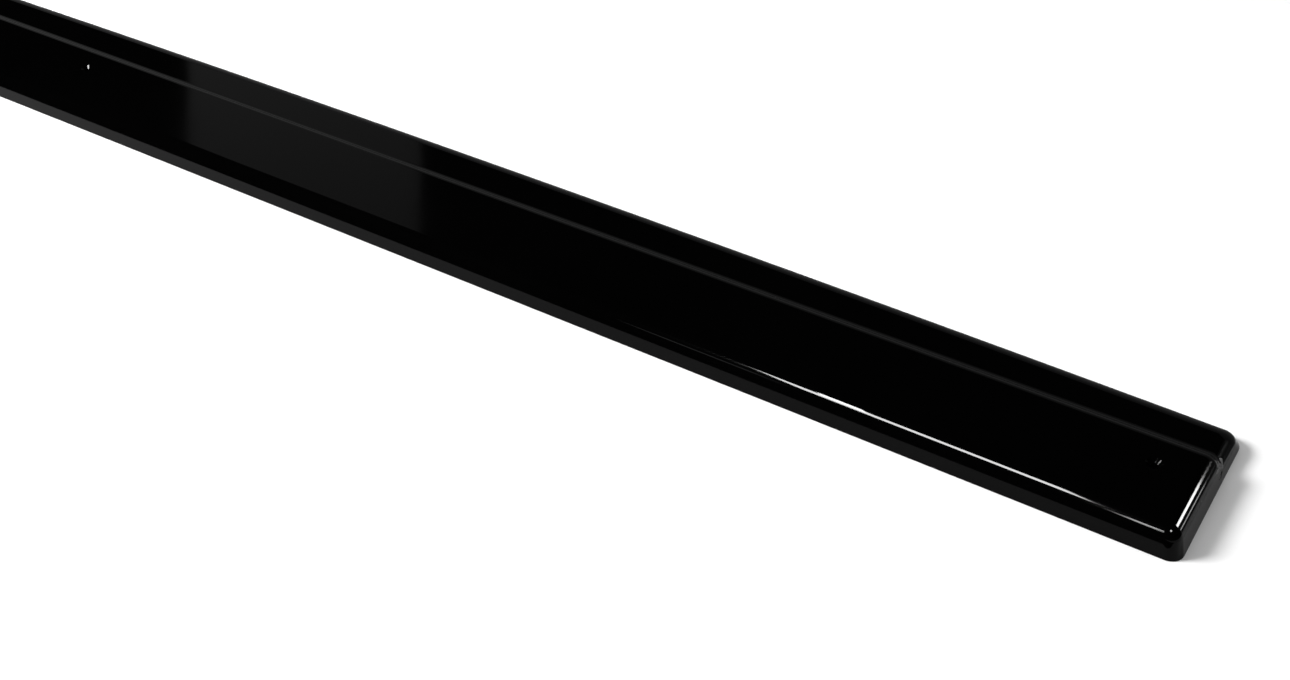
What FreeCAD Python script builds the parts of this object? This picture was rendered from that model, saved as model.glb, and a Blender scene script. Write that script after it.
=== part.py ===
import FreeCAD, Part
import math
import os

# Side skirt extension: one vacuum-formed shell of ABS sheet, in millimetres.
# The long inner edge runs along X, Y points out from the car's sill, and Z
# points up. The open rim of the shell stands on z = 0, and x = 0 is mid-length,
# where the middle fixing hole is. The shell is drawn with its inner edge at
# y = 0 and then set back by half its width, so that it is centred on the origin.

# Plan, measured at the rim
LENGTH = 1848.0
CROWN_WIDTH = 124.2
CROWN_X = 193.8
OUTER_EDGE_RADIUS = 29500.0
END_RAKE = 1.9
CORNER_RADIUS = 6.0

# Section
FACE_HEIGHT = 19.0
STRIP_DROP = 6.0
RAMP_CENTRE_Y = 75.0
RAMP_ANGLE = 42.0
RAMP_CREST_RADIUS = 8.5
RAMP_FOOT_RADIUS = 8.5
TOP_EDGE_RADIUS = 5.5
SHEET = 3.0

# Draft that lets the shell leave the mould
INNER_DRAFT = 3.0
OUTER_DRAFT = 38.0
END_DRAFT = 12.0

# Fixing holes for countersunk screws, in one line along the main face
HOLE_FROM_END = 34.8
HOLE_Y = 48.5
HOLE_RADIUS = 2.6
COUNTERSINK_RADIUS = 4.8
COUNTERSINK_DEPTH = 2.2

OVERSIZE = 40.0


def section_points(inset):
    """Corner points and arc middles of the ramp, for a skin set in by inset."""
    slope = math.radians(RAMP_ANGLE)
    crest = RAMP_CREST_RADIUS - inset
    foot = RAMP_FOOT_RADIUS + inset
    rounds = RAMP_CREST_RADIUS + RAMP_FOOT_RADIUS
    flat_drop = STRIP_DROP - rounds * (1.0 - math.cos(slope))
    flat_run = flat_drop / math.tan(slope)
    run = rounds * math.sin(slope) + flat_run
    crest_y = RAMP_CENTRE_Y - run / 2.0
    crest_z = FACE_HEIGHT - RAMP_CREST_RADIUS
    foot_y = RAMP_CENTRE_Y + run / 2.0
    foot_z = FACE_HEIGHT - STRIP_DROP + RAMP_FOOT_RADIUS
    points = []
    for part in (0.0, 0.5, 1.0):
        turn = slope * part
        points.append((crest_y + crest * math.sin(turn), crest_z + crest * math.cos(turn)))
    for part in (1.0, 0.5, 0.0):
        turn = slope * part
        points.append((foot_y - foot * math.sin(turn), foot_z - foot * math.cos(turn)))
    return points


def section_prism(inset):
    """The stepped section, run along X past both ends of the shell."""
    x0 = -LENGTH / 2.0 - OVERSIZE
    ramp = []
    for y, z in section_points(inset):
        ramp.append(FreeCAD.Vector(x0, y, z))
    top = FACE_HEIGHT - inset
    strip = FACE_HEIGHT - STRIP_DROP - inset
    inner_foot = FreeCAD.Vector(x0, -OVERSIZE, -OVERSIZE)
    inner_top = FreeCAD.Vector(x0, -OVERSIZE, top)
    outer_top = FreeCAD.Vector(x0, CROWN_WIDTH + OVERSIZE, strip)
    outer_foot = FreeCAD.Vector(x0, CROWN_WIDTH + OVERSIZE, -OVERSIZE)
    edges = [
        Part.makeLine(inner_foot, inner_top),
        Part.makeLine(inner_top, ramp[0]),
        Part.Arc(ramp[0], ramp[1], ramp[2]).toShape(),
        Part.makeLine(ramp[2], ramp[3]),
        Part.Arc(ramp[3], ramp[4], ramp[5]).toShape(),
        Part.makeLine(ramp[5], outer_top),
        Part.makeLine(outer_top, outer_foot),
        Part.makeLine(outer_foot, inner_foot),
    ]
    face = Part.Face(Part.Wire(edges))
    return face.extrude(FreeCAD.Vector(LENGTH + 2.0 * OVERSIZE, 0.0, 0.0))


def plane_cutter(point, normal):
    """Disc-shaped block that takes away all that lies beyond a plane."""
    return Part.makeCylinder(2.0 * LENGTH, 10.0 * OVERSIZE, point, normal)


def inner_wall_cutter(inset):
    """Everything inboard of the drafted wall along the inner edge."""
    draft = math.radians(INNER_DRAFT)
    normal = FreeCAD.Vector(0.0, -math.cos(draft), math.sin(draft))
    point = FreeCAD.Vector(0.0, 0.0, 0.0) - normal * inset
    return plane_cutter(point, normal)


def end_wall_cutter(hand, inset):
    """Everything past one end wall, which is raked in plan and drafted."""
    draft = math.radians(END_DRAFT)
    rake = math.radians(END_RAKE)
    level = math.cos(draft)
    normal = FreeCAD.Vector(hand * level * math.cos(rake), level * math.sin(rake), math.sin(draft))
    point = FreeCAD.Vector(hand * LENGTH / 2.0, 0.0, 0.0) - normal * inset
    return plane_cutter(point, normal)


def outer_wall_cone(inset, low, high):
    """Cone whose wall is the bowed, drafted outer wall of the shell."""
    slope = math.tan(math.radians(OUTER_DRAFT))
    radius = OUTER_EDGE_RADIUS - inset / math.cos(math.radians(OUTER_DRAFT))
    base = FreeCAD.Vector(CROWN_X, CROWN_WIDTH - OUTER_EDGE_RADIUS, low)
    up = FreeCAD.Vector(0.0, 0.0, 1.0)
    return Part.makeCone(radius - slope * low, radius - slope * high, high - low, base, up)


def corner_edges(shape, low, high):
    """The four edges that climb from z = low to z = high."""
    found = []
    for edge in shape.Edges:
        box = edge.BoundBox
        if box.ZMin < low + 0.01 and box.ZMax > high - 0.01:
            found.append(edge)
    return found


def plan_block(inset):
    """Drafted block with rounded upright corners, taller than the section."""
    low = -OVERSIZE / 4.0
    high = FACE_HEIGHT + OVERSIZE / 4.0
    start = FreeCAD.Vector(-LENGTH / 2.0 - OVERSIZE, -OVERSIZE, low)
    block = Part.makeBox(LENGTH + 2.0 * OVERSIZE, 2.0 * CROWN_WIDTH, high - low, start)
    block = block.cut(inner_wall_cutter(inset))
    block = block.cut(end_wall_cutter(1.0, inset))
    block = block.cut(end_wall_cutter(-1.0, inset))
    block = block.common(outer_wall_cone(inset, low, high))
    return block.makeFillet(CORNER_RADIUS - inset, corner_edges(block, low, high))


def top_loop(shape, floor):
    """Edges between the top skin and the drafted walls."""
    found = []
    skin = math.cos(math.radians(RAMP_ANGLE)) - 0.01
    for edge in shape.Edges:
        if edge.BoundBox.ZMin < floor:
            continue
        steep = 0
        for face in shape.ancestorsOfType(edge, Part.Face):
            u0, u1, v0, v1 = face.ParameterRange
            normal = face.normalAt((u0 + u1) / 2.0, (v0 + v1) / 2.0)
            if normal.z < skin:
                steep += 1
        if steep == 1:
            found.append(edge)
    return found


def skin_body(inset):
    """Solid under one skin of the sheet, its top edge still sharp."""
    return section_prism(inset).common(plan_block(inset))


def round_top(body):
    """Round the top edge all the way round, over the ramp at both ends too."""
    floor = FACE_HEIGHT - STRIP_DROP - 0.5
    return body.makeFillet(TOP_EDGE_RADIUS, top_loop(body, floor))


def fixing_hole(x):
    """Cutter for one countersunk hole through the main face."""
    up = FreeCAD.Vector(0.0, 0.0, 1.0)
    below = FreeCAD.Vector(x, HOLE_Y, FACE_HEIGHT - 2.0 * SHEET)
    bore = Part.makeCylinder(HOLE_RADIUS, 3.0 * SHEET, below, up)
    seat = FreeCAD.Vector(x, HOLE_Y, FACE_HEIGHT - COUNTERSINK_DEPTH)
    cone = Part.makeCone(HOLE_RADIUS, COUNTERSINK_RADIUS, COUNTERSINK_DEPTH, seat, up)
    return bore.fuse(cone)


def skirt_shell():
    """Outer skin less inner skin, cut off at the rim and drilled."""
    shell = round_top(skin_body(0.0)).cut(skin_body(SHEET))
    room = Part.makeBox(
        LENGTH + 2.0 * OVERSIZE,
        CROWN_WIDTH + 2.0 * OVERSIZE,
        2.0 * OVERSIZE,
        FreeCAD.Vector(-LENGTH / 2.0 - OVERSIZE, -OVERSIZE, -2.0 * OVERSIZE),
    )
    shell = shell.cut(room)
    last_hole = LENGTH / 2.0 - HOLE_FROM_END
    for x in (-last_hole, 0.0, last_hole):
        shell = shell.cut(fixing_hole(x))
    solid = shell.Solids[0]
    solid.translate(FreeCAD.Vector(0.0, -CROWN_WIDTH / 2.0, 0.0))
    return solid


os.makedirs("parts", exist_ok=True)
shell = skirt_shell()
shell.exportStep("parts/skirt_shell.step")
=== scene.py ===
# %% [markdown]
# A side skirt extension is a long, shallow shell of gloss black plastic that is
# fixed along a car's sill. One sheet is heated and drawn over a mould, and then
# trimmed along its rim. In this lesson the shell is modelled as its mould would
# be carved: a block is cut, bowed and rounded, hollowed into a sheet, trimmed and
# drilled. After that it gets its finishes, and a studio made for shiny black.

import math

import bmesh
import bpy
from mathutils import Matrix, Vector


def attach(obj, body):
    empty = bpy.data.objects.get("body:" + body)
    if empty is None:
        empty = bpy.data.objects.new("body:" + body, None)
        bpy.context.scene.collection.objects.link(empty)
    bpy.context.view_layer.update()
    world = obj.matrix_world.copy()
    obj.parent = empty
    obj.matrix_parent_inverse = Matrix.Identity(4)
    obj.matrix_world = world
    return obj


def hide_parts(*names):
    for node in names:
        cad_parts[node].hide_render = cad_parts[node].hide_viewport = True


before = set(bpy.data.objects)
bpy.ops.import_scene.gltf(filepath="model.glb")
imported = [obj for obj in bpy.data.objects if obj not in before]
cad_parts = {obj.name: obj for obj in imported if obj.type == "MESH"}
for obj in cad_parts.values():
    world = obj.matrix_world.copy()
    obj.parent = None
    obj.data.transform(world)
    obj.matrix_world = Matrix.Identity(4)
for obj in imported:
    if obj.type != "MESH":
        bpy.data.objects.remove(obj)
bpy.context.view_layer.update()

# %% [markdown]
# Every size is written once, in metres. The section is read across the part:
# a broad main face, a rounded ramp down, and a lower strip with a soft outer edge.
# The outer edge is a very flat arc, so its radius is many metres. The block first
# reaches below the floor by BELOW, so that the rim can be trimmed level at the end.

# %% Sizes of the shell
MM = 0.001
HALF_LENGTH = 924.0 * MM
INNER_Y = -62.1 * MM
CROWN_Y = 62.1 * MM
CROWN_X = 193.8 * MM
OUTER_EDGE_RADIUS = 29.5
FACE_Z = 19.0 * MM
STRIP_Z = 13.0 * MM
RAMP_Y = 12.4 * MM
RAMP_ANGLE = math.radians(42.0)
RAMP_ROUND = 9.2 * MM
INNER_DRAFT = math.radians(3.0)
END_DRAFT = math.radians(12.0)
END_RAKE = math.radians(1.9)
OUTER_DRAFT = math.radians(38.0)
CORNER_ROUND = 8.3 * MM
TOP_ROUND = 7.8 * MM
SHEET = 3.0 * MM
BELOW = 10.0 * MM
HOLES_X = (-889.2 * MM, 0.0, 889.2 * MM)
HOLE_Y = -13.6 * MM

# %% [markdown]
# Blender's operators act on whatever is selected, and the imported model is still
# selected after loading. These small helpers deselect everything first, and then
# pick vertices, edges or faces by a test on their place or direction.


# %% Helpers for picking parts of a mesh
def start_piece(name):
    """Name the object that a primitive has just made, and apply its size and place."""
    piece = bpy.context.active_object
    piece.name = name
    bpy.ops.object.transform_apply(location=True, rotation=True, scale=True)
    return piece


def clear_selection():
    for other in bpy.context.selected_objects:
        other.select_set(False)


def pick(piece, kind, test):
    """In edit mode, select only the verts, edges or faces that pass a test."""
    bpy.ops.mesh.select_all(action="DESELECT")
    bpy.ops.mesh.select_mode(type={"verts": "VERT", "edges": "EDGE", "faces": "FACE"}[kind])
    mesh = bmesh.from_edit_mesh(piece.data)
    found = 0
    for item in getattr(mesh, kind):
        if test(item):
            item.select_set(True)
            found += 1
    mesh.select_flush_mode()
    bmesh.update_edit_mesh(piece.data)
    return found


def middle(edge):
    return (edge.verts[0].co + edge.verts[1].co) / 2.0


# %% [markdown]
# The block is a cube stretched to the middle run of the shell. Its two ends are
# pulled out later as single long steps, so that no cross line lies where an end's
# rounded edge has to go.

# %% Start from a block
RUN = 890.0 * MM
PULL = 60.0 * MM
WALL_SPARE = 12.0 * MM
clear_selection()
bpy.ops.mesh.primitive_cube_add(
    size=1.0,
    location=(0.0, (INNER_Y - WALL_SPARE + CROWN_Y) / 2.0, (FACE_Z - BELOW) / 2.0),
    scale=(2.0 * RUN, CROWN_Y - INNER_Y + WALL_SPARE, FACE_Z + BELOW),
)
shell = start_piece("skirt_sheet")
print("block", [round(v, 4) for v in shell.dimensions])

# %% [markdown]
# The ramp is two arcs joined by a short slope. Bisect cuts a line along the whole
# block at each point of that curve, and then each line's top vertices are moved
# down to it. Cutting first and moving after keeps every face a clean quad.


# %% Points of the ramp
def ramp_points(steps):
    """(y, drop) from the main face down to the strip, crest and foot rounded."""
    drop = FACE_Z - STRIP_Z
    flat_drop = drop - 2.0 * RAMP_ROUND * (1.0 - math.cos(RAMP_ANGLE))
    run = 2.0 * RAMP_ROUND * math.sin(RAMP_ANGLE) + flat_drop / math.tan(RAMP_ANGLE)
    points = []
    for step in range(steps + 1):
        turn = RAMP_ANGLE * step / steps
        y = RAMP_Y - run / 2.0 + RAMP_ROUND * math.sin(turn)
        points.append((y, RAMP_ROUND * (1.0 - math.cos(turn))))
    for step in range(steps, -1, -1):
        turn = RAMP_ANGLE * step / steps
        y = RAMP_Y + run / 2.0 - RAMP_ROUND * math.sin(turn)
        points.append((y, drop - RAMP_ROUND * (1.0 - math.cos(turn))))
    return points


ramp = ramp_points(9)
print("ramp", round((ramp[-1][0] - ramp[0][0]) / MM, 2), "mm wide")

# %% Cut the ramp's lines and lower them
bpy.ops.object.mode_set(mode="EDIT")
for y, drop in ramp:
    bpy.ops.mesh.select_all(action="SELECT")
    bpy.ops.mesh.bisect(plane_co=(0.0, y, 0.0), plane_no=(0.0, 1.0, 0.0))
for y, drop in ramp:
    pick(shell, "verts", lambda v: v.co.z > 0.0 and abs(v.co.y - y) < 1e-6)
    bpy.ops.transform.translate(value=(0.0, 0.0, -drop))
pick(shell, "verts", lambda v: v.co.z > 0.0 and v.co.y > ramp[-1][0] + 1e-5)
bpy.ops.transform.translate(value=(0.0, 0.0, STRIP_Z - FACE_Z))
print("stepped block", len(shell.data.vertices), "vertices")

# %% [markdown]
# The outer edge bows. Subdivide cuts the block across at even stations, the two
# end faces are extruded to pull out the ends, and then each station's outer
# vertices are moved out or in to lie on the arc. The top row is set further in
# than the bottom one, which gives the outer wall its strong slope. A hundred
# stations keep each step of the arc well under a tenth of a millimetre.

# %% Cross stations, and the ends pulled out
CROSS_CUTS = 97
pick(shell, "edges", lambda e: abs(e.verts[0].co.x - e.verts[1].co.x) > RUN)
bpy.ops.mesh.subdivide(number_cuts=CROSS_CUTS)
for hand in (-1.0, 1.0):
    pick(shell, "faces", lambda f: f.normal.x * hand > 0.9)
    pull = {"value": (hand * PULL, 0.0, 0.0)}
    bpy.ops.mesh.extrude_region_move(TRANSFORM_OT_translate=pull)
bpy.ops.object.mode_set(mode="OBJECT")
stations = sorted({round(v.co.x, 6) for v in shell.data.vertices})
print("stations", len(stations))


# %% Bow the outer wall
def rim_y(x):
    """Where the outer rim lies at x, on its flat arc."""
    along = x - CROWN_X
    return CROWN_Y - OUTER_EDGE_RADIUS + math.sqrt(OUTER_EDGE_RADIUS**2 - along**2)


bpy.ops.object.mode_set(mode="EDIT")
for x in stations:
    for level in (STRIP_Z, -BELOW):
        out = rim_y(x) - level * math.tan(OUTER_DRAFT) - CROWN_Y
        pick(
            shell,
            "verts",
            lambda v: abs(v.co.x - x) < 1e-5
            and abs(v.co.z - level) < 1e-5
            and abs(v.co.y - CROWN_Y) < 1e-6,
        )
        bpy.ops.transform.translate(value=(0.0, out, 0.0))

# %% [markdown]
# A moulded shell needs draft: its walls lean in, so that it comes off the mould.
# Bisect with fill trims the block by a leaning plane and closes it again, once
# along the inner side and once at each end, where the plane is also turned a
# little in plan.

# %% Trim the inner side and the ends
bpy.ops.mesh.select_all(action="SELECT")
bpy.ops.mesh.bisect(
    plane_co=(0.0, INNER_Y, 0.0),
    plane_no=(0.0, -math.cos(INNER_DRAFT), math.sin(INNER_DRAFT)),
    clear_outer=True,
    use_fill=True,
)
for hand in (-1.0, 1.0):
    bpy.ops.mesh.select_all(action="SELECT")
    bpy.ops.mesh.bisect(
        plane_co=(hand * HALF_LENGTH, INNER_Y, 0.0),
        plane_no=(
            hand * math.cos(END_DRAFT) * math.cos(END_RAKE),
            math.cos(END_DRAFT) * math.sin(END_RAKE),
            math.sin(END_DRAFT),
        ),
        clear_outer=True,
        use_fill=True,
    )

# %% [markdown]
# Bevel rounds the four upright corners first, and then the whole top edge in one
# go, so that the round runs unbroken over the ramp at each end and on round the
# corners. A bevel's offset is measured along the faces, so where the wall leans
# strongly the same offset gives a larger, softer round. That is what the real
# outer edge shows. The corners' offset has to be at least the top edge's, or the
# top round would fold over itself there.


# %% Round the corners and the top edge
def is_end(face):
    return abs(face.normal.x) > 0.9


def is_side(face):
    return abs(face.normal.x) < 0.1 and abs(face.normal.y) > 0.7


def is_upright_corner(edge):
    kinds = [(is_end(f), is_side(f)) for f in edge.link_faces]
    return len(kinds) == 2 and any(k[0] for k in kinds) and any(k[1] for k in kinds)


def round_selected(offset, segments):
    bpy.ops.mesh.bevel(
        offset_type="OFFSET",
        offset=offset,
        segments=segments,
        profile=0.5,
        clamp_overlap=False,
    )


print("corners", pick(shell, "edges", is_upright_corner))
round_selected(CORNER_ROUND, 8)


def is_skin(face):
    return face.normal.z > math.cos(RAMP_ANGLE) - 0.02


def is_top_edge(edge):
    kinds = [is_skin(f) for f in edge.link_faces]
    return len(kinds) == 2 and kinds[0] != kinds[1] and middle(edge).z > 0.0


print("top edge", pick(shell, "edges", is_top_edge), "edges")
round_selected(TOP_ROUND, 10)

# %% [markdown]
# Now the mould becomes a sheet. The bottom is deleted, Solidify grows the wall
# inwards by the sheet's thickness, and a last bisect at floor level trims the rim
# flat, as a router does on the real part. The inner skin gets the second finish
# and the rim the third.

# %% Hollow into a sheet
pick(shell, "faces", lambda f: f.normal.z < -0.9)
bpy.ops.mesh.delete(type="FACE")
bpy.ops.mesh.select_all(action="SELECT")
bpy.ops.mesh.remove_doubles(threshold=1e-6)
bpy.ops.mesh.normals_make_consistent(inside=False)
bpy.ops.object.mode_set(mode="OBJECT")
FINISHES = ("gloss_black_sheet", "satin_sheet_back", "trimmed_rim")
for name in FINISHES:
    shell.data.materials.append(bpy.data.materials.new(name))
sheet = shell.modifiers.new("sheet", "SOLIDIFY")
sheet.thickness = SHEET
sheet.offset = -1.0
sheet.use_even_offset = False
sheet.use_quality_normals = True
sheet.material_offset = 1
sheet.material_offset_rim = 2
bpy.context.view_layer.objects.active = shell
bpy.ops.object.modifier_apply(modifier=sheet.name)

# %% Trim the rim level
bpy.ops.object.mode_set(mode="EDIT")
bpy.ops.mesh.select_all(action="SELECT")
bpy.ops.mesh.bisect(
    plane_co=(0.0, 0.0, 0.0),
    plane_no=(0.0, 0.0, -1.0),
    clear_outer=True,
    use_fill=True,
)
pick(shell, "faces", lambda f: f.normal.z < -0.99 and f.calc_center_median().z < 1e-5)
shell.active_material_index = 2
bpy.ops.object.material_slot_assign()
bpy.ops.object.mode_set(mode="OBJECT")

# %% [markdown]
# Three holes take countersunk screws. The drill is modelled once, from a cylinder
# with a cone added above it, and copied for each hole with a mesh of its own.
# Boolean then cuts each copy out of the sheet.

# %% Model the drill
HOLE_RADIUS = 2.6 * MM
SEAT_RADIUS = 4.8 * MM
SEAT_DEPTH = 2.2 * MM
BORE_DEPTH = 8.0 * MM
ABOVE_FACE = 2.0 * MM
clear_selection()
bpy.ops.mesh.primitive_cylinder_add(
    vertices=64,
    radius=HOLE_RADIUS,
    depth=BORE_DEPTH,
    location=(0.0, HOLE_Y, FACE_Z - SEAT_DEPTH - BORE_DEPTH / 2.0),
)
drill = start_piece("drill")
bpy.ops.object.mode_set(mode="EDIT")
pick(drill, "faces", lambda f: f.normal.z > 0.9)
bpy.ops.mesh.extrude_region_move(TRANSFORM_OT_translate={"value": (0.0, 0.0, SEAT_DEPTH)})
wider = SEAT_RADIUS / HOLE_RADIUS
bpy.ops.transform.resize(value=(wider, wider, 1.0), center_override=(0.0, HOLE_Y, FACE_Z))
bpy.ops.mesh.extrude_region_move(TRANSFORM_OT_translate={"value": (0.0, 0.0, ABOVE_FACE)})
bpy.ops.object.mode_set(mode="OBJECT")
for name in FINISHES:
    drill.data.materials.append(bpy.data.materials[name])
print("drill", [round(v / MM, 2) for v in drill.dimensions], "mm")

# %% Cut the holes
for x in HOLES_X:
    clear_selection()
    drill.select_set(True)
    bpy.context.view_layer.objects.active = drill
    bpy.ops.object.duplicate(linked=False)
    cutter = bpy.context.active_object
    bpy.ops.transform.translate(value=(x, 0.0, 0.0))
    bpy.ops.object.transform_apply(location=True, rotation=True, scale=True)
    cut = shell.modifiers.new("hole", "BOOLEAN")
    cut.operation = "DIFFERENCE"
    cut.solver = "EXACT"
    cut.object = cutter
    bpy.context.view_layer.objects.active = shell
    bpy.ops.object.modifier_apply(modifier=cut.name)
    bpy.data.objects.remove(cutter)
bpy.data.objects.remove(drill)

# %% [markdown]
# Shiny black shows every error in shading. Smooth by angle keeps the holes' edges
# and the rim sharp, and Weighted Normal lets the large flat faces rule their
# borders, so that reflections stay straight right up to each round.

# %% Shade the shell
clear_selection()
shell.select_set(True)
bpy.context.view_layer.objects.active = shell
bpy.ops.object.shade_smooth_by_angle(angle=math.radians(32.0))
weigh = shell.modifiers.new("weigh", "WEIGHTED_NORMAL")
weigh.mode = "FACE_AREA"
weigh.keep_sharp = True
bpy.ops.object.modifier_apply(modifier=weigh.name)
mesh = bmesh.new()
mesh.from_mesh(shell.data)
open_edges = sum(1 for e in mesh.edges if len(e.link_faces) != 2)
triangles = sum(len(f.verts) - 2 for f in mesh.faces)
mesh.free()
print("shell", triangles, "triangles,", open_edges, "open edges")
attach(shell, "root")
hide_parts("skirt_shell")

# %% [markdown]
# Materials are built from shader nodes. The small class below wraps a socket, so
# that shader maths is written as ordinary Python: `a * b + 1` adds its Math nodes.
# One method makes any other node from its type, settings and inputs.


# %% Write shader maths as Python
class Value:
    """A socket that adds Math nodes when it is used in an expression."""

    def __init__(self, kit, socket):
        self.kit = kit
        self.socket = socket

    def math(self, operation, first, second):
        return self.kit.node("ShaderNodeMath", {"operation": operation}, {0: first, 1: second})

    def __add__(self, other):
        return self.math("ADD", self, other)

    def __radd__(self, other):
        return self.math("ADD", other, self)

    def __sub__(self, other):
        return self.math("SUBTRACT", self, other)

    def __rsub__(self, other):
        return self.math("SUBTRACT", other, self)

    def __mul__(self, other):
        return self.math("MULTIPLY", self, other)

    def __rmul__(self, other):
        return self.math("MULTIPLY", other, self)


class Finish:
    """A material under construction, with a Principled shader to feed."""

    def __init__(self, material):
        material.use_nodes = True
        self.tree = material.node_tree
        self.shader = self.tree.nodes["Principled BSDF"]
        self.place = self.node("ShaderNodeTexCoord", {}, {}, "Object")

    def node(self, kind, settings, inputs, output=0):
        made = self.tree.nodes.new(kind)
        for name, value in settings.items():
            setattr(made, name, value)
        self.feed(made, inputs)
        return Value(self, made.outputs[output])

    def feed(self, made, inputs):
        for name, value in inputs.items():
            if isinstance(value, Value):
                self.tree.links.new(value.socket, made.inputs[name])
            else:
                made.inputs[name].default_value = value

    def noise(self, scale, detail=2.0, stretch=(1.0, 1.0, 1.0)):
        """A noise pattern on the piece, from 0 to 1; scale counts its spots per metre."""
        place = self.node("ShaderNodeMapping", {}, {"Vector": self.place, "Scale": stretch})
        return self.node(
            "ShaderNodeTexNoise", {}, {"Vector": place, "Scale": scale, "Detail": detail}
        )

    def bump(self, height, distance, below=None):
        """A bump that stands up by distance, in metres, on another bump if one is given."""
        inputs = {"Height": height, "Distance": distance, "Strength": 1.0}
        if below is not None:
            inputs["Normal"] = below
        return self.node("ShaderNodeBump", {}, inputs)

    def blend(self, mask, low, high):
        """A colour between two, by a mask from 0 to 1."""
        return self.node(
            "ShaderNodeMix", {"data_type": "RGBA"}, {"Factor": mask, "A": low, "B": high}, "Result"
        )

    def set(self, **sockets):
        self.feed(self.shader, {name.replace("_", " "): value for name, value in sockets.items()})


# %% [markdown]
# The outside is polished black plastic. What is seen on it is only what it
# mirrors, so the work is in the mirror: a slow waviness that the forming leaves,
# a fine orange peel, and faint smudges that make it a little less sharp in places.
# The colour is close to none, and the specular level is low, so that the faces
# sink to a deep black and only lamps and pale surfaces show in them.

# %% Gloss black outside
gloss = Finish(bpy.data.materials["gloss_black_sheet"])
smudges = gloss.noise(9.0, 3.0)
peel = gloss.noise(420.0, 1.0)
waves = gloss.noise(26.0, 1.0, (0.5, 1.0, 1.0))
ripple = gloss.bump(waves, 0.00003)
skin = gloss.bump(peel, 0.0000008, ripple)
gloss.set(
    Base_Color=gloss.blend(smudges, (0.0003, 0.0003, 0.0003, 1.0), (0.0006, 0.0006, 0.0006, 1.0)),
    Roughness=0.035 + 0.05 * smudges,
    Specular_IOR_Level=0.052,
    IOR=1.5,
    Normal=skin,
)

# %% [markdown]
# The back of the sheet took no polish from a mould. It is satin, with a fine grain.

# %% Satin back
satin = Finish(bpy.data.materials["satin_sheet_back"])
grain = satin.noise(1500.0, 2.0)
patches = satin.noise(14.0, 3.0)
satin.set(
    Base_Color=satin.blend(patches, (0.006, 0.006, 0.0062, 1.0), (0.011, 0.011, 0.0115, 1.0)),
    Roughness=0.36 + 0.14 * patches,
    Specular_IOR_Level=0.4,
    Normal=satin.bump(grain, 0.000012),
)

# %% [markdown]
# The rim is where the sheet was cut. The cutter leaves it dull and slightly pale,
# with fine marks across it.

# %% Cut rim
rim = Finish(bpy.data.materials["trimmed_rim"])
marks = rim.noise(900.0, 2.0, (1.0, 1.0, 0.15))
rim.set(
    Base_Color=rim.blend(marks, (0.010, 0.010, 0.0105, 1.0), (0.022, 0.022, 0.023, 1.0)),
    Roughness=0.45 + 0.2 * marks,
    Specular_IOR_Level=0.4,
    Normal=rim.bump(marks, 0.00002),
)

# %% [markdown]
# The studio has a wide white floor and, far behind, a low dim screen. Above the
# screen all is dark, and the broad faces mirror that dark: they turn black, while
# the ramp and the soft outer edge, which lean away, mirror the screen.


# %% Floor and screen
def flat_colour(name, colour, glow):
    """A matt finish of one colour, which may glow a little by itself."""
    material = bpy.data.materials.new(name)
    finish = Finish(material)
    finish.set(Base_Color=colour, Roughness=0.9, Specular_IOR_Level=0.0)
    finish.set(Emission_Color=(1.0, 1.0, 1.0, 1.0), Emission_Strength=glow)
    return material


def flat_panel(name, middle_point, turn, size, material):
    """A rectangle of the studio, with its place and size applied."""
    bpy.ops.mesh.primitive_plane_add(size=1.0, location=middle_point, rotation=turn)
    panel = bpy.context.active_object
    panel.name = name
    panel.scale = (size[0], size[1], 1.0)
    bpy.ops.object.transform_apply(location=True, rotation=True, scale=True)
    panel.data.materials.append(material)
    return panel


FLOOR_Z = -0.2 * MM
FLOOR_SIZE = (30.0, 30.0)
SCREEN_X = (-15.0, 9.0)
SCREEN_Y = 7.0
SCREEN_TOP = 5.0
DIM = 0.22
LEVEL = (0.0, 0.0, 0.0)
UPRIGHT = (math.pi / 2.0, 0.0, 0.0)
clear_selection()
white = flat_colour("white_floor", (0.86, 0.86, 0.86, 1.0), 0.0)
floor = flat_panel("studio_floor", (0.0, 0.0, FLOOR_Z), LEVEL, FLOOR_SIZE, white)
screen = flat_panel(
    "studio_screen",
    (sum(SCREEN_X) / 2.0, SCREEN_Y, SCREEN_TOP / 2.0),
    UPRIGHT,
    (SCREEN_X[1] - SCREEN_X[0], SCREEN_TOP),
    flat_colour("pale_screen", (0.02, 0.02, 0.02, 1.0), DIM),
)
print("floor", FLOOR_SIZE, "m, screen", SCREEN_TOP, "m high")

# %% [markdown]
# Two cards paint reflections into the gloss black, and only mirror rays meet them. The black card
# in front is a painted dark reflection: it darkens the upper half of the inner wall, just under
# the bright line. The dim card behind glows a little and is a painted grey reflection, which keeps
# the ramp and the outer edge from mirroring the white floor. Both lie flat, so the floor stays
# white.


# %% Cards for the mirror
def mirror_card(name, x, y, glow):
    """A card on the floor between two x and two y, met only by mirror rays, so it paints a
    reflection.
    """
    card = flat_panel(
        name,
        ((x[0] + x[1]) / 2.0, (y[0] + y[1]) / 2.0, 0.0),
        LEVEL,
        (x[1] - x[0], y[1] - y[0]),
        flat_colour(name, (0.0, 0.0, 0.0, 1.0), glow),
    )
    card.visible_camera = False
    card.visible_diffuse = False
    card.visible_shadow = False
    return card


CARD_GAP = 12.4 * MM
# Painted dark reflection: a black card seen only in the inner wall's mirror.
black_card = mirror_card("black_card", (-3.0, 0.95), (-3.1, INNER_Y - CARD_GAP), 0.0)
# Painted grey reflection: a glowing card seen only in the mirror of the ramp and outer edge.
dim_card = mirror_card("dim_card", SCREEN_X, (CROWN_Y + 2.0 * MM, SCREEN_Y), DIM)

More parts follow.
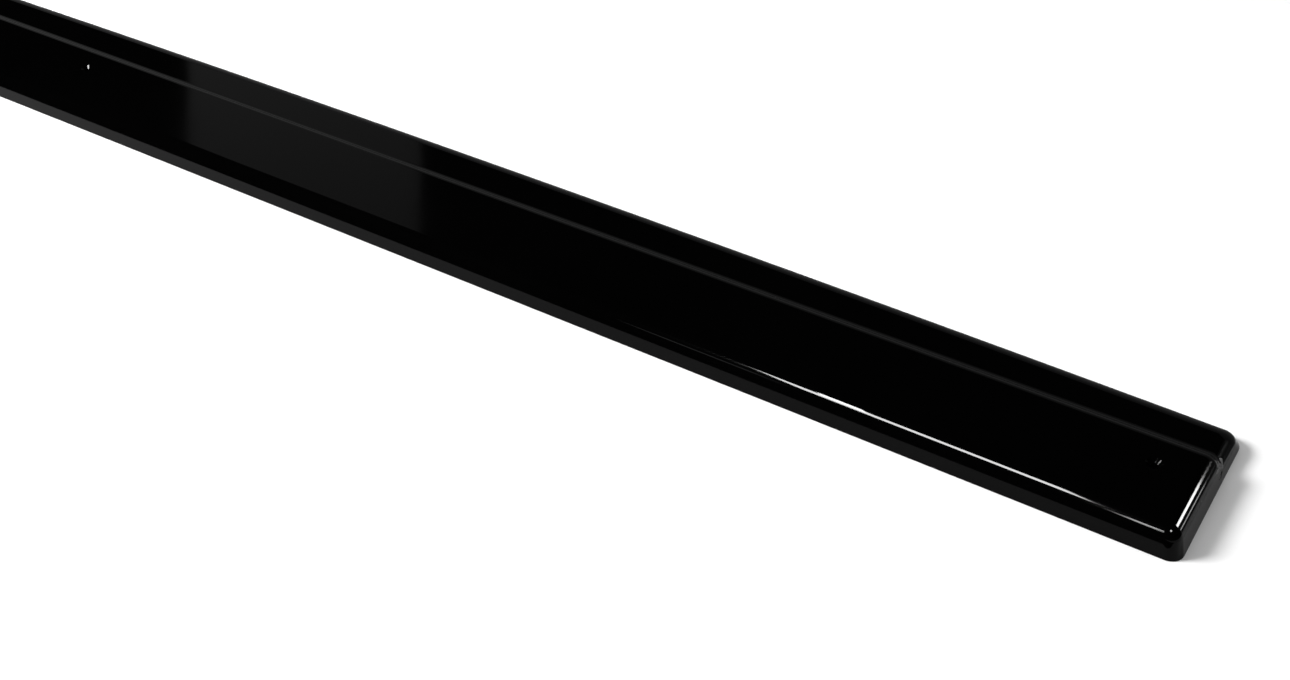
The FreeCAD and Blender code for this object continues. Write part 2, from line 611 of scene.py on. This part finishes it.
# %% [markdown]
# A lamp is seen in a shiny edge where the mirror law puts it. So each bright line
# has a lamp of its own, placed by halving the angle between camera and lamp. Lamps
# for the mirror don't light the matt floor, and the two wide soft lamps, which
# light the floor and cast the shadow, aren't mirrored.


# %% A lamp by its place, size and brightness
def lamp(name, place, aim, along, size, brightness, mirrored=True):
    """A rectangular lamp: its long side lies along a direction, and it faces aim."""
    data = bpy.data.lights.new(name, "AREA")
    data.shape = "RECTANGLE"
    data.size, data.size_y = size
    data.energy = brightness * math.pi * size[0] * size[1]
    made = bpy.data.objects.new(name, data)
    bpy.context.scene.collection.objects.link(made)
    back = (Vector(place) - Vector(aim)).normalized()
    side = (Vector(along) - Vector(along).dot(back) * back).normalized()
    turn = Matrix((side, back.cross(side), back)).transposed()
    made.matrix_world = Matrix.Translation(place) @ turn.to_4x4()
    made.visible_camera = False
    made.visible_glossy = mirrored
    made.visible_diffuse = not mirrored
    return made


X = (1.0, 0.0, 0.0)
Y = (0.0, 1.0, 0.0)


def lamp_facing_down(name, place, size, brightness):
    return lamp(name, place, (place[0], place[1], 0.0), X, size, brightness)


# %% [markdown]
# The strips overhead draw the lines along the inner edge: one long and bright, its
# faint tail, and a short one near the end. Small lamps make the spot on the corner
# and the glints in the holes' countersinks.

# %% Lamps mirrored in the inner edge, the corner and the holes
lamp_facing_down("strip_long", (0.207, -0.849, 1.6), (0.575, 0.52), 180.0)
lamp_facing_down("strip_tail", (-0.667, -2.214, 1.6), (0.384, 0.3), 6.0)
lamp_facing_down("strip_short", (0.512, -1.797, 1.6), (0.088, 0.5), 80.0)
lamp_facing_down("corner_spot", (1.83, -0.41, 1.6), (0.35, 0.35), 150.0)
lamp_facing_down("hole_glint", (0.656, -0.108, 0.176), (0.035, 0.035), 250.0)
lamp_facing_down("hole_spot", (0.58, -1.5, 1.6), (0.12, 0.15), 150.0)

# %% [markdown]
# Along the end, a lamp behind draws the bright line, and a low one beside it draws
# the fainter line further out. A large dim card far to the left stands in the
# broad faces as a grey patch.

# %% Lamps mirrored in the end and the broad faces
END_EDGE = (0.91, 0.016)
lamp("end_strip", (2.118, 1.755, 1.066), (END_EDGE[0], 1.755, END_EDGE[1]), Y, (0.19, 0.42), 120.0)
lamp("end_low", (2.49, 1.79, 0.29), (END_EDGE[0], 1.79, END_EDGE[1]), Y, (0.17, 0.15), 25.0)
CARD_ALONG = (0.68, 0.652, 0.199)
lamp("grey_card", (-3.35, 3.03, 2.76), (0.3, 0.0, 0.0), CARD_ALONG, (0.93, 1.0), 0.34)

# %% Soft lamps for the floor and the shadow
lamp("key", (-3.2, -2.3, 3.2), (0.4, 0.0, 0.0), X, (1.8, 1.8), 48.0, False)
lamp("overhead", (0.7, 0.0, 2.6), (0.7, 0.0, 0.0), X, (4.0, 3.0), 1.2, False)

# %% [markdown]
# The room itself is dark. The camera stands over the part's right end and looks
# along it, turned a little about its own axis. Its lens is worked out from the
# picture's width, and colours are shown as they are, without a film look.

# %% World, camera and colour
IMAGE_WIDTH = 1290.0
FOCAL_PIXELS = 1600.0
CAMERA_PLACE = (1.04812201, -0.69582215, 0.624156)
CAMERA_TURN = (52.0273, 2.2516, 34.5883)
world = bpy.data.worlds.new("dark_room")
bpy.context.scene.world = world
world.use_nodes = True
background = world.node_tree.nodes["Background"]
background.inputs["Color"].default_value = (0.0, 0.0, 0.0, 1.0)
lens = bpy.data.cameras.new("camera")
lens.sensor_width = 36.0
lens.lens = lens.sensor_width * FOCAL_PIXELS / IMAGE_WIDTH
lens.clip_start = 0.01
camera = bpy.data.objects.new("camera", lens)
bpy.context.scene.collection.objects.link(camera)
camera.location = CAMERA_PLACE
camera.rotation_euler = [math.radians(v) for v in CAMERA_TURN]
bpy.context.scene.camera = camera
bpy.context.scene.view_settings.view_transform = "Standard"
